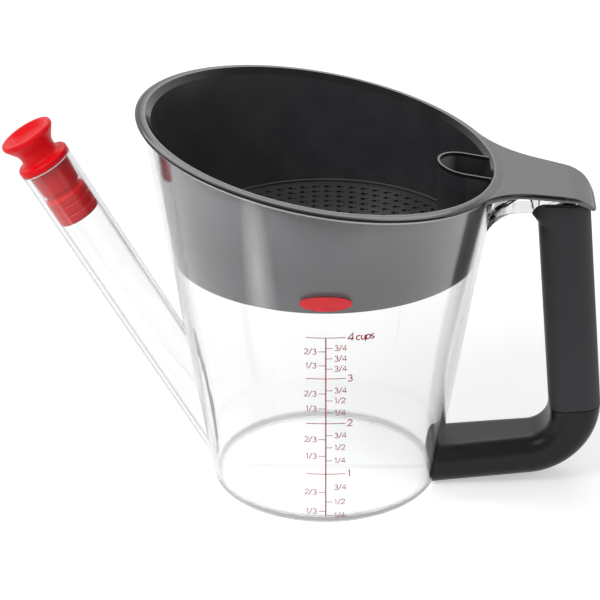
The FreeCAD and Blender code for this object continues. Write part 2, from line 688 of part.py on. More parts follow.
def make_grip_sleeve():
    """The soft grip around the core, with a beak towards the jug at its top."""
    high = GRIP_TOP - SEAM.z
    inward = vec(-math.sin(GRIP_TURN), 0, math.cos(GRIP_TURN))
    stations = [
        (SEAM_GAP, 0),
        (high - BEAK_START, 0),
        (high - BEAK_FULL, BEAK_REACH),
        (high + BEAK_HEIGHT, BEAK_REACH),
    ]
    wires = []
    for way, reach in stations:
        centre = SEAM + GRIP_WAY * way + inward * (reach / 2)
        wires.append(section(centre, GRIP_TURN, GRIP_HALF_WIDTH, GRIP_HALF_DEPTH + reach / 2, HANDLE_ROUND))
    sleeve = Part.makeLoft(wires, True, True).common(under_bridge())
    return sleeve.cut(core())


# ---- stopper -----------------------------------------------------------------------------------------------
def plug_radius(depth):
    """The ribs' radius at a depth in the bore."""
    return BORE_RADIUS - PLUG_CLEARANCE - depth * math.tan(math.radians(BORE_TAPER))


def make_stopper():
    notch = UPPER_PLUG_LENGTH
    lower = notch + NOTCH_HEIGHT
    end = lower + LOWER_PLUG_LENGTH
    upper_radius = plug_radius(notch)
    rib_radius = plug_radius(end)
    outline = [
        (0, -end, 0),
        (rib_radius, -end, PLUG_END_ROUND),
    ]
    pitch = LOWER_PLUG_LENGTH / RIB_COUNT
    for rib in range(RIB_COUNT - 1):
        height = -end + pitch * (rib + 1)
        outline += [
            (rib_radius, height - RIB_GROOVE, RIB_GROOVE / 2),
            (rib_radius - RIB_DEPTH, height, RIB_GROOVE / 2),
            (rib_radius, height + RIB_GROOVE, RIB_GROOVE / 2),
        ]
    knob_foot = KNOB_HEIGHT - KNOB_EDGE
    outline += [
        (rib_radius, -lower, LOWER_PLUG_ROUND),
        (NOTCH_RADIUS, -lower, NOTCH_ROUND),
        (NOTCH_RADIUS, -notch, NOTCH_ROUND),
        (upper_radius - PLUG_TAPER, -notch, UPPER_PLUG_ROUND),
        (upper_radius, 0, 0),
        (FLANGE_RADIUS, 0, FLANGE_ROUND / 2),
        (FLANGE_RADIUS, FLANGE_THICKNESS, FLANGE_ROUND),
        (NECK_RADIUS, FLANGE_THICKNESS, NECK_LOW_ROUND),
        (NECK_RADIUS, knob_foot - NECK_HIGH_ROUND, NECK_HIGH_ROUND),
        (KNOB_RADIUS, knob_foot, KNOB_EDGE_ROUND),
        (KNOB_RADIUS, KNOB_HEIGHT, KNOB_EDGE_ROUND),
        (KNOB_RADIUS - KNOB_LAND, KNOB_HEIGHT, KNOB_EDGE_ROUND),
        (KNOB_RADIUS - KNOB_LAND - KNOB_DISH_RUN, KNOB_HEIGHT - KNOB_DISH, KNOB_DISH_ROUND),
        (0, KNOB_HEIGHT - KNOB_DISH, 0),
    ]
    return along_spout(turned(outline))


# ---- badge -------------------------------------------------------------------------------------------------
def make_badge():
    """An oval, standing a little off the wall all over."""
    centre = in_xz(BADGE_SHIFT, CUP_BOTTOM + BADGE_ABOVE_CUP_EDGE)
    oval = Part.Ellipse(centre + vec(BADGE_WIDTH / 2, 0, 0), centre + UP * (BADGE_HEIGHT / 2), centre)
    prism = Part.Face(Part.Wire([oval.toShape()])).extrude(ACROSS * -REACH)
    shell = cone(BADGE_THICKNESS, CUP_BOTTOM - BADGE_HEIGHT, CUP_BOTTOM + 3 * BADGE_HEIGHT)
    return prism.common(shell).cut(jug_outside())


def main():
    os.makedirs("parts", exist_ok=True)
    pieces = {
        "jug": make_jug(),
        "spout_tube": make_spout_tube(),
        "strainer_cup": make_strainer_cup(),
        "strainer_floor": make_strainer_floor(),
        "stopper": make_stopper(),
        "handle_frame": make_handle_frame(),
        "grip_sleeve": make_grip_sleeve(),
        "badge": make_badge(),
    }
    for name, shape in pieces.items():
        solids = shape.Solids
        kept = solids[0] if len(solids) == 1 else Part.makeCompound(solids)
        kept.exportStep(f"parts/{name}.step")
        box = kept.BoundBox
        size = f"{box.XLength:.0f} x {box.YLength:.0f} x {box.ZLength:.0f} mm"
        print(f"{name}: {len(solids)} solid, valid {kept.isValid()}, {kept.Volume / 1000:.2f} cm3, {size}")


if __name__ == "__main__":
    main()
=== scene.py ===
"""Blender scene of a gravy fat separator: a clear jug and spout, a black strainer, a red stopper, a handle.

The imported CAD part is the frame.  The clear jug and its spout are one body here, so that light passes from
one to the other, and the cup scale is printed on it.  All the other pieces keep their CAD shape and get a
finish.  Lengths are in millimetres, apart from the studio's, and meshes are scaled to metres at the end.
"""
import math

import bmesh
import bpy
import numpy as np
from mathutils import Matrix, Quaternion, Vector


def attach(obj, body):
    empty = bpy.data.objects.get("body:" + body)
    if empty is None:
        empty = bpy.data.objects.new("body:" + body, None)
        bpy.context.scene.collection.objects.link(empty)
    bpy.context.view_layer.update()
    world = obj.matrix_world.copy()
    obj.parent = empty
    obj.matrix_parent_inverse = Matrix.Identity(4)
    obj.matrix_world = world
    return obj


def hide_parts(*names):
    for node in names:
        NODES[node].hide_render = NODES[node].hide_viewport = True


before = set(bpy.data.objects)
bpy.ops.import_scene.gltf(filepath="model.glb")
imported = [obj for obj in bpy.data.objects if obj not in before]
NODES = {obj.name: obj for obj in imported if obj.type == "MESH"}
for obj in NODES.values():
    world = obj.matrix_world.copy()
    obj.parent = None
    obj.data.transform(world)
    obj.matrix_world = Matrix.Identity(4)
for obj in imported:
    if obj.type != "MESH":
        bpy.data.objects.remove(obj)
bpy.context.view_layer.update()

# ---- dimensions of the clear body, as in the part's source ----------------------------------------------
BASE_RADIUS = 49.6
WALL_DRAFT = math.radians(9.6)
JUG_WALL = 2.2
FLOOR_THICKNESS = 2.6
BASE_EDGE_RADIUS = 3.0
FLOOR_CORNER_RADIUS = 2.0
RIM_HEIGHT = 160.2
RIM_TILT = math.radians(10.0)
LIP_OVERHANG = 1.3
LIP_HEIGHT = 1.6
LIP_ROUND = 0.35

SPOUT_ANGLE = math.radians(59.7)
SPOUT_FOOT_HEIGHT = 39.0
SPOUT_LENGTH = 128.2
SPOUT_RADIUS = 11.85
SPOUT_TAPER = math.tan(math.radians(0.35))
BORE_RADIUS = 9.85
BORE_TAPER = math.tan(math.radians(0.25))
MOUTH_ROUND = 0.35

CUP_RIM_SIDE = 0.95
CUP_RIM_OVERHANG = 2.3
TAB_THICKNESS = 2.4
TAB_THINNING = 1.2
TAB_BEND_RADIUS = 16.7
TAB_BEND_SWEEP = math.radians(58.5)
TAB_BEND_PAST_GRIP = 1.7
GRIP_LEAN = math.radians(4.84)
GRIP_HALF_DEPTH = 11.3
GRIP_TOP_BELOW_TAB = 5.45
BEAK_REACH = 2.8
BEAK_HEIGHT = 4.9
BEAK_RUN = 1.0
BEAK_TOP_ROUND = 5.5
ARM_LENGTH = 63.3
ARM_CORNER_HEIGHT = 15.3
BRIDGE_HALF_WIDTH = 13.8
BRIDGE_ROUND = 18.0
BRIDGE_EDGE_ROUND = 3.2
BRIDGE_CLEARANCE = 0.3
BRIDGE_CAP = 0.7
BRIDGE_END_INSET = 1.0
TONGUE_LENGTH = 26.0
TONGUE_DEPTH = 8.0
TONGUE_WIDTH = 14.0
TONGUE_IN_BRIDGE = 1.0

DRAFT = math.tan(WALL_DRAFT)
FALL = math.tan(RIM_TILT)
LEAN = math.tan(GRIP_LEAN)
TAB_TOP = RIM_HEIGHT + CUP_RIM_SIDE
WALL_AT_RIM = BASE_RADIUS + RIM_HEIGHT * DRAFT
RIM_X = -WALL_AT_RIM * DRAFT * FALL
RIM_RADIUS = WALL_AT_RIM + CUP_RIM_OVERHANG
CORNER_X = BASE_RADIUS + ARM_LENGTH
GRIP_TOP_X = (CORNER_X - (TAB_TOP - GRIP_TOP_BELOW_TAB - ARM_CORNER_HEIGHT) * LEAN) / (1 - FALL * LEAN)
GRIP_TOP = TAB_TOP - GRIP_TOP_X * FALL - GRIP_TOP_BELOW_TAB
BEAK_X = GRIP_TOP_X - GRIP_HALF_DEPTH - BEAK_REACH
BRIDGE_UNDERSIDE = GRIP_TOP - BEAK_HEIGHT
BEND_X = GRIP_TOP_X + TAB_BEND_PAST_GRIP

SEAT = 0.05                   # the clear body is this much fuller where an opaque piece is bonded to it
AIR = 0.04                    # and this much short of a piece that only rests on it
ROUND_STEPS = 256
SPOUT_STEPS = 128
EDGE_STEPS = 8
CORNER_STEPS = 10
UNDERSIDE_STEPS = 12
FAR = 100.0                   # a point this far up a wall gives the wall's direction
PAST_RIM = 12.0               # what hollows out the jug and the spout ends this far past their mouths
PAST_MOUTH = 10.0
MILLIMETRE = 0.001


# ---- mesh tools -----------------------------------------------------------------------------------------
def make_object(name, data):
    made = bpy.data.objects.new(name, data)
    bpy.context.scene.collection.objects.link(made)
    return made


def object_from(name, points, faces):
    """An object from points and faces, with its faces turned outwards."""
    mesh = bpy.data.meshes.new(name)
    mesh.from_pydata([tuple(p) for p in points], [], faces)
    work = bmesh.new()
    work.from_mesh(mesh)
    bmesh.ops.recalc_face_normals(work, faces=work.faces)
    work.to_mesh(mesh)
    work.free()
    return make_object(name, mesh)


def combine(body, tool, operation):
    """An exact boolean of tool on body.  The tool is used up."""
    modifier = body.modifiers.new("combine", "BOOLEAN")
    modifier.operation = operation
    modifier.solver = "EXACT"
    modifier.object = tool
    graph = bpy.context.evaluated_depsgraph_get()
    result = bpy.data.meshes.new_from_object(body.evaluated_get(graph))
    body.modifiers.remove(modifier)
    body.data = result
    bpy.data.objects.remove(tool)


def rings_to_solid(name, rings):
    """A closed solid through rings of equal count, with a flat cap at each end."""
    count = len(rings[0])
    points = [p for ring in rings for p in ring]
    faces = []
    for level in range(len(rings) - 1):
        low, high = level * count, (level + 1) * count
        for i in range(count):
            j = (i + 1) % count
            faces.append((low + i, low + j, high + j, high + i))
    faces.append(tuple(range(count)))
    faces.append(tuple(range((len(rings) - 1) * count, len(rings) * count)))
    return object_from(name, points, faces)


def turn_about_axis(name, profile):
    """A solid from rings given as functions of the angle that return (radius, height)."""
    angles = [2 * math.pi * i / ROUND_STEPS for i in range(ROUND_STEPS)]
    rings = []
    for place in profile:
        ring = []
        for angle in angles:
            radius, height = place(angle)
            ring.append((radius * math.cos(angle), radius * math.sin(angle), height))
        rings.append(ring)
    return rings_to_solid(name, rings)


def level_ring(radius, height):
    return lambda angle: (radius, height)


def slanted_ring(offset, raise_by):
    """Where the wall moved out by offset meets the rim plane raised by a distance."""
    def place(angle):
        level = RIM_HEIGHT + raise_by
        radius = (BASE_RADIUS + level * DRAFT + offset) / (1 + DRAFT * FALL * math.cos(angle))
        return radius, level - radius * math.cos(angle) * FALL
    return place


def corner_points(before, corner, after, radius, steps=EDGE_STEPS):
    """Points of the arc that rounds a corner of a flat outline."""
    if radius <= 0:
        return [Vector(corner)]
    corner, back, ahead = Vector(corner), Vector(before) - Vector(corner), Vector(after) - Vector(corner)
    back.normalize()
    ahead.normalize()
    half = back.angle(ahead) / 2
    middle = (back + ahead).normalized()
    hub = corner + middle * (radius / math.sin(half))
    start = corner + back * (radius / math.tan(half)) - hub
    turn = math.pi - 2 * half
    if back.x * ahead.y - back.y * ahead.x > 0:
        turn = -turn
    points = []
    for step in range(steps + 1):
        angle = turn * step / steps
        cos, sin = math.cos(angle), math.sin(angle)
        points.append(hub + Vector((start.x * cos - start.y * sin, start.x * sin + start.y * cos)))
    return points


def rounded_outline(corners):
    """A closed flat outline through corners (a, b, radius)."""
    flat = [(a, b) for a, b, radius in corners]
    outline = []
    for i, (a, b, radius) in enumerate(corners):
        outline += corner_points(flat[i - 1], flat[i], flat[(i + 1) % len(flat)], radius)
    return outline


def prism_across(name, outline, half_width):
    """A flat outline in X and Z drawn out to both sides."""
    rings = [[(p[0], y, p[1]) for p in outline] for y in (-half_width, half_width)]
    return rings_to_solid(name, rings)


# ---- the clear body -------------------------------------------------------------------------------------
def jug_outside():
    rings = []
    wall_foot = BASE_RADIUS + SEAT
    corner = (wall_foot, 0.0)
    for p in corner_points((0, 0), corner, (wall_foot + FAR * DRAFT, FAR), BASE_EDGE_RADIUS, CORNER_STEPS):
        rings.append(level_ring(p.x, p.y))
    rings.append(slanted_ring(SEAT, -LIP_HEIGHT))
    rings.append(slanted_ring(LIP_OVERHANG - LIP_ROUND, -LIP_HEIGHT))
    rings.append(slanted_ring(LIP_OVERHANG, -LIP_HEIGHT + LIP_ROUND))
    rings.append(slanted_ring(LIP_OVERHANG, -LIP_ROUND))
    rings.append(slanted_ring(LIP_OVERHANG - LIP_ROUND, -AIR))
    return turn_about_axis("jug_outside", rings)


def jug_inside():
    rings = []
    foot = BASE_RADIUS - JUG_WALL + FLOOR_THICKNESS * DRAFT
    corner = (foot, FLOOR_THICKNESS)
    up_wall = (foot + FAR * DRAFT, FLOOR_THICKNESS + FAR)
    for p in corner_points((0, FLOOR_THICKNESS), corner, up_wall, FLOOR_CORNER_RADIUS, CORNER_STEPS):
        rings.append(level_ring(p.x, p.y))
    rings.append(slanted_ring(-JUG_WALL, PAST_RIM))
    return turn_about_axis("jug_inside", rings)


SPOUT_WAY = Vector((-math.cos(SPOUT_ANGLE), 0, math.sin(SPOUT_ANGLE)))
SPOUT_ACROSS = Vector((math.sin(SPOUT_ANGLE), 0, math.cos(SPOUT_ANGLE)))
SPOUT_FOOT = Vector((-(BASE_RADIUS + SPOUT_FOOT_HEIGHT * DRAFT), 0, SPOUT_FOOT_HEIGHT))
MOUTH = SPOUT_FOOT + SPOUT_WAY * SPOUT_LENGTH
SPOUT_LOW_END = -(SPOUT_LENGTH + 3 * SPOUT_RADIUS)   # inside the jug, from the mouth


def along_spout(name, stations):
    """A solid of circles about the spout's axis, from stations (distance up from the mouth, radius)."""
    side = Vector((0, 1, 0))
    rings = []
    for way, radius in stations:
        centre = MOUTH + SPOUT_WAY * way
        ring = []
        for i in range(SPOUT_STEPS):
            angle = 2 * math.pi * i / SPOUT_STEPS
            ring.append(centre + (SPOUT_ACROSS * math.cos(angle) + side * math.sin(angle)) * radius)
        rings.append(ring)
    return rings_to_solid(name, rings)


def spout_outside():
    return along_spout("spout_outside", [
        (SPOUT_LOW_END, SPOUT_RADIUS + SPOUT_LOW_END * SPOUT_TAPER),
        (-MOUTH_ROUND, SPOUT_RADIUS),
        (-AIR, SPOUT_RADIUS - MOUTH_ROUND),
    ])


def spout_bore():
    return along_spout("spout_bore", [
        (SPOUT_LOW_END, BORE_RADIUS + SPOUT_LOW_END * BORE_TAPER),
        (0, BORE_RADIUS),
        (PAST_MOUTH, BORE_RADIUS + PAST_MOUTH * BORE_TAPER),
    ])


def bend_line(drop, end_x, steps=16):
    """The line a drop below the tab's underside, from inside the wall round the tab's bend to end_x."""
    lean = Vector((math.sin(RIM_TILT), math.cos(RIM_TILT)))
    centre = Vector((BEND_X, TAB_TOP - BEND_X * FALL)) - lean * TAB_BEND_RADIUS
    on_bend = []
    for part in (0, 0.5, 1):
        turn = RIM_TILT + TAB_BEND_SWEEP * part
        radius = TAB_BEND_RADIUS - TAB_THICKNESS - drop + TAB_THINNING * part
        on_bend.append(centre + Vector((math.sin(turn), math.cos(turn))) * radius)
    hub = circle_centre(*on_bend)
    start = on_bend[0]
    radius = (start - hub).length
    first = math.asin((start.x - hub.x) / radius)
    last = math.asin((end_x - hub.x) / radius)
    points = [Vector((BASE_RADIUS, start.y + (start.x - BASE_RADIUS) * FALL))]
    for step in range(steps + 1):
        turn = first + (last - first) * step / steps
        points.append(hub + Vector((math.sin(turn), math.cos(turn))) * radius)
    return points


def circle_centre(a, b, c):
    """The centre of the circle through three points."""
    ab, ac = b - a, c - a
    twice = 2 * (ab.x * ac.y - ab.y * ac.x)
    x = (ac.y * ab.length_squared - ab.y * ac.length_squared) / twice
    y = (ab.x * ac.length_squared - ac.x * ab.length_squared) / twice
    return a + Vector((x, y))


def bridge():
    """The clear arm over the end of the grip, with its two lower edges rounded."""
    low = BRIDGE_UNDERSIDE - 2 * BRIDGE_ROUND
    end = GRIP_TOP_X + GRIP_HALF_DEPTH - BRIDGE_END_INSET
    root = (BASE_RADIUS + low * DRAFT - 2 * JUG_WALL, low)
    corner = (BASE_RADIUS + BRIDGE_UNDERSIDE * DRAFT, BRIDGE_UNDERSIDE)
    top = bend_line(BRIDGE_CLEARANCE, end)
    rings = []
    edge = []
    for step in reversed(range(EDGE_STEPS + 1)):
        turn = math.pi / 2 * step / EDGE_STEPS
        inset = BRIDGE_EDGE_ROUND * (1 - math.sin(turn))
        edge.append((-BRIDGE_HALF_WIDTH + inset, BRIDGE_EDGE_ROUND * (1 - math.cos(turn))))
    for y, lift in edge + [(-y, lift) for y, lift in reversed(edge)]:
        under = corner_points(root, corner, (end, BRIDGE_UNDERSIDE), BRIDGE_ROUND - lift, UNDERSIDE_STEPS)
        along = (Vector(corner) - Vector(root)).normalized()
        drawn_in = Vector((-along.y, along.x)) * lift
        last = Vector((end, min(BRIDGE_UNDERSIDE + lift, top[-1].y - BRIDGE_CAP)))
        line = [Vector(root) + drawn_in] + [p + drawn_in for p in under] + [last]
        outline = line + list(reversed(top))
        rings.append([(p.x, y, p.y) for p in outline])
    return rings_to_solid("bridge", rings)


ROOM_FOOT = -20.0             # well below the bridge


def grip_room():
    """The room for the top of the grip under the bridge."""
    far = GRIP_TOP_X + 4 * GRIP_HALF_DEPTH
    outline = rounded_outline([
        (BEAK_X, ROOM_FOOT, 0),
        (far, ROOM_FOOT, 0),
        (far, GRIP_TOP + AIR, 0),
        (BEAK_X + BEAK_RUN, GRIP_TOP + AIR, BEAK_TOP_ROUND),
        (BEAK_X, BRIDGE_UNDERSIDE, 0),
    ])
    room = prism_across("grip_room", outline, 2 * GRIP_HALF_DEPTH)
    end = GRIP_TOP_X + GRIP_HALF_DEPTH
    under = bend_line(BRIDGE_CLEARANCE + BRIDGE_CAP - AIR, end)
    outline = under + [Vector((end, 2 * ROOM_FOOT)), Vector((BASE_RADIUS, 2 * ROOM_FOOT))]
    combine(room, prism_across("under_cap", outline, 3 * GRIP_HALF_DEPTH), "INTERSECT")
    return room


def tongue():
    """The bridge's tongue inside the handle."""
    x, y = TONGUE_DEPTH / 2, TONGUE_WIDTH / 2
    box = [(-x, -y), (x, -y), (x, y), (-x, y)]
    turn = Matrix.Rotation(-GRIP_LEAN, 3, "Y")
    place = Vector((GRIP_TOP_X, 0, GRIP_TOP))
    rings = [[place + turn @ Vector((x, y, z)) for x, y in box] for z in (-TONGUE_LENGTH, TONGUE_IN_BRIDGE)]
    return rings_to_solid("tongue", rings)


def make_clear_body():
    body = jug_outside()
    arm = bridge()
    combine(arm, grip_room(), "DIFFERENCE")
    combine(arm, tongue(), "UNION")
    combine(body, arm, "UNION")
    combine(body, spout_outside(), "UNION")
    combine(body, jug_inside(), "DIFFERENCE")
    combine(body, spout_bore(), "DIFFERENCE")
    body.name = body.data.name = "clear_body"
    smooth_round_faces(body.data)
    body.data.transform(Matrix.Scale(MILLIMETRE, 4))
    return body


ON_SURFACE = 0.02             # a point is on a cone when it lies this near
SAME_WAY = 0.9                # the least cosine between a face and the cone it lies on
SHARP = math.radians(25)


def smooth_round_faces(mesh):
    """Smooth shading with exact normals on the cones of the wall, the spout and its bore."""
    mesh.update()
    mesh.shade_smooth()
    points = np.zeros(len(mesh.vertices) * 3)
    mesh.vertices.foreach_get("co", points)
    surfaces = jug_cones(points.reshape(-1, 3)) + spout_cones(points.reshape(-1, 3))

    mark_sharp_edges(mesh)
    normals = np.zeros(len(mesh.loops) * 3)
    mesh.corner_normals.foreach_get("vector", normals)
    normals = normals.reshape(-1, 3)
    for face in mesh.polygons:
        corners = list(face.vertices)
        for near, normal in surfaces:
            if near[corners].all() and normal[corners].mean(axis=0) @ np.array(face.normal) > SAME_WAY:
                normals[list(face.loop_indices)] = normal[corners]
                break
    mesh.normals_split_custom_set([tuple(n) for n in normals])


def jug_cones(points):
    """For the wall's outside and inside: which points lie on it, and its normal beside each point."""
    radius = np.hypot(points[:, 0], points[:, 1])
    outward = points / np.maximum(radius, 1e-6)[:, None]
    outward[:, 2] = 0
    normal = outward * math.cos(WALL_DRAFT) - np.array([0, 0, math.sin(WALL_DRAFT)])
    past_wall = radius - BASE_RADIUS - points[:, 2] * DRAFT
    return [
        (np.abs(past_wall - SEAT) < ON_SURFACE, normal),
        (np.abs(past_wall + JUG_WALL) < ON_SURFACE, -normal),
    ]


def spout_cones(points):
    """The same for the spout and its bore."""
    axis = np.array(SPOUT_WAY)
    from_mouth = points - np.array(MOUTH)
    way = from_mouth @ axis
    spoke = from_mouth - way[:, None] * axis
    length = np.maximum(np.linalg.norm(spoke, axis=1), 1e-6)
    cones = []
    for radius, taper, side in ((SPOUT_RADIUS, SPOUT_TAPER, 1), (BORE_RADIUS, BORE_TAPER, -1)):
        near = np.abs(length - (radius + np.minimum(way, 0) * taper)) < ON_SURFACE
        slant = math.atan(taper)
        cones.append((near, (spoke / length[:, None] * math.cos(slant) - axis * math.sin(slant)) * side))
    return cones


def mark_sharp_edges(mesh):
    work = bmesh.new()
    work.from_mesh(mesh)
    for edge in work.edges:
        edge.smooth = edge.calc_face_angle(0.0) < SHARP
    work.to_mesh(mesh)
    work.free()


# ---- the printed cup scale ------------------------------------------------------------------------------
INK_OUT = 0.12                # the ink's face, out from the wall's line
INK_IN = 0.02
LINE_AT = 0.93                # the scale's upright line, round the wall from the front
LINE_FOOT = 4.45
BOLD = 0.55                   # widths of strokes
THIN = 0.34
HAIR = 0.30
SLANT = 0.12                  # of the words at the top
CUP_START = 10.2              # where the numbers of the cups start, round the wall from the front
CUP_SIZE = 3.3
CUP_DROP = 1.6                # a number's foot is this far below its mark
FRACTION_START = 4.5
FRACTION_END = -3.0           # where the fractions on the left end
FRACTION_SIZE = 2.7
FRACTION_DROP = 1.3
CUP_HEIGHTS = {"4": 99.4, "3": 78.3, "2": 54.7, "1": 27.5}
CUP_TICK = (-7.4, 9.4)
LEFT_TICK = (-2.2, LINE_AT)
RIGHT_TICK = (LINE_AT, 3.8)
RIGHT_MARKS = [
    (94.1, "3/4", True), (88.7, "3/4", True), (83.4, "3/4", True),
    (72.1, "3/4", True), (66.8, "1/2", True), (60.4, "1/4", True),
    (48.3, "3/4", True), (41.8, "1/2", True), (34.8, "1/4", True),
    (20.2, "3/4", False), (12.2, "1/2", True), (4.7, "1/4", True),
]
LEFT_MARKS = [
    (92.3, "2/3"), (85.1, "1/3"), (70.4, "2/3"), (62.6, "1/3"),
    (46.2, "2/3"), (37.2, "1/3"), (17.6, "2/3"), (7.1, "1/3"),
]


def arc(x, y, wide, high, start, end, steps=10):
    """Points on part of an ellipse, with angles in degrees."""
    turns = [math.radians(start + (end - start) * step / steps) for step in range(steps + 1)]
    return [(x + wide * math.cos(t), y + high * math.sin(t)) for t in turns]


# Each sign is a list of strokes on a field one unit high, and its width.
SIGNS = {
    "1": ([[(-0.13, 0.83), (0.07, 1.0), (0.07, 0.0)]], 0.50),
    "2": ([arc(0.0, 0.72, 0.28, 0.28, 165, -38) + [(-0.32, 0.0), (0.32, 0.0)]], 0.66),
    "3": ([arc(-0.02, 0.75, 0.25, 0.25, 150, -90) + arc(-0.02, 0.26, 0.30, 0.26, 90, -150)[1:]], 0.66),
    "4": ([[(0.14, 0.0), (0.14, 1.0), (-0.34, 0.26), (0.36, 0.26)]], 0.70),
    "/": ([[(-0.24, -0.08), (0.24, 1.08)]], 0.62),
    "c": ([arc(0.02, 0.32, 0.27, 0.32, 50, 310)], 0.56),
    "u": ([[(-0.22, 0.64)] + arc(0.0, 0.22, 0.22, 0.22, 180, 360) + [(0.22, 0.64)],
           [(0.22, 0.4), (0.22, 0.0)]], 0.60),
    "p": ([[(-0.26, 0.64), (-0.26, -0.30)], arc(0.02, 0.32, 0.27, 0.32, 0, 360, 16)], 0.64),
    "s": ([arc(0.0, 0.48, 0.18, 0.16, 40, 270) + arc(0.0, 0.16, 0.20, 0.16, 90, -140)[1:]], 0.46),
}


BLUNT = 0.55                  # keeps the tips of sharp turns short
TICK_STEP = 1.5               # a tick follows the wall in steps of about this length


def stroke(work, line, width):
    """A raised stroke along points (round the wall, up), as a closed strip in the given mesh."""
    middle = [Vector(p) for p in line]
    sides = []
    for i, here in enumerate(middle):
        before = here - middle[i - 1] if i else middle[1] - here
        after = middle[i + 1] - here if i + 1 < len(middle) else here - middle[i - 1]
        way = (before.normalized() + after.normalized()).normalized()
        across = Vector((-way.y, way.x))
        after.normalize()
        reach = width / 2 / max(BLUNT, across.dot(Vector((-after.y, after.x))))
        sides.append((here + across * reach, here - across * reach))
    rows = []
    for left, right in sides:
        rows.append([work.verts.new(on_wall(p, out)) for p, out in
                     ((left, INK_OUT), (right, INK_OUT), (right, INK_IN), (left, INK_IN))])
    for low, high in zip(rows, rows[1:]):
        for i in range(4):
            j = (i + 1) % 4
            work.faces.new((low[i], low[j], high[j], high[i]))
    work.faces.new(rows[0][::-1])
    work.faces.new(rows[-1])


def on_wall(p, out):
    """A point on the jug's wall from its distance round the wall from the front, and its height."""
    radius = BASE_RADIUS + p.y * DRAFT
    angle = p.x / radius
    return Vector((math.sin(angle) * (radius + out), -math.cos(angle) * (radius + out), p.y))


def write(work, text, start, foot, height, width, slant=0.0):
    """Signs from a start round the wall, on a foot line, with strokes of the given width."""
    at = start
    for sign in text:
        strokes, room = SIGNS[sign]
        for line in strokes:
            placed = [(at + (x + room / 2 + slant * y) * height, foot + y * height) for x, y in line]
            stroke(work, placed, width)
        at += room * height


def tick(work, start, end, height, width):
    steps = max(1, round((end - start) / TICK_STEP))
    stroke(work, [(start + (end - start) * i / steps, height) for i in range(steps + 1)], width)


def make_scale_print():
    work = bmesh.new()
    top = CUP_HEIGHTS["4"]
    stroke(work, [(LINE_AT, LINE_FOOT), (LINE_AT, top)], BOLD)
    for height in CUP_HEIGHTS.values():
        tick(work, *CUP_TICK, height, THIN)
    write(work, "4", 10.1, top - CUP_DROP, 3.7, 0.62, SLANT)
    write(work, "cups", 13.6, top - CUP_DROP, 3.5, BOLD, SLANT)
    for label in "321":
        write(work, label, CUP_START, CUP_HEIGHTS[label] - CUP_DROP, CUP_SIZE, 0.45)
    for height, label, has_tick in RIGHT_MARKS:
        write(work, label, FRACTION_START, height - FRACTION_DROP, FRACTION_SIZE, THIN)
        if has_tick:
            tick(work, *RIGHT_TICK, height, HAIR)
    for height, label in LEFT_MARKS:
        wide = sum(SIGNS[sign][1] for sign in label) * FRACTION_SIZE
        write(work, label, FRACTION_END - wide, height - FRACTION_DROP, FRACTION_SIZE, THIN)
        tick(work, *LEFT_TICK, height, HAIR)
    bmesh.ops.recalc_face_normals(work, faces=work.faces)
    mesh = bpy.data.meshes.new("scale_print")
    work.to_mesh(mesh)
    work.free()
    mesh.transform(Matrix.Scale(MILLIMETRE, 4))
    return make_object("scale_print", mesh)


# ---- nodes ------------------------------------------------------------------------------------------------
def add_node(tree, kind, inputs=None, **settings):
    """A node with its settings, and with inputs that are fixed values or other nodes' outputs."""
    node = tree.nodes.new(kind)
    for name, value in settings.items():
        setattr(node, name, value)
    for socket, value in (inputs or {}).items():
        if isinstance(value, bpy.types.NodeSocket):
            tree.links.new(value, node.inputs[socket])
        else:
            node.inputs[socket].default_value = value
    return node


def math_node(tree, operation, *values):
    return add_node(tree, "ShaderNodeMath", dict(enumerate(values)), operation=operation).outputs[0]


def map_range(tree, value, start, end, low, high):
    """A number that runs from low to high as value runs from start to end."""
    return add_node(tree, "ShaderNodeMapRange", {
        "Value": value, "From Min": start, "From Max": end, "To Min": low, "To Max": high,
    }).outputs["Result"]


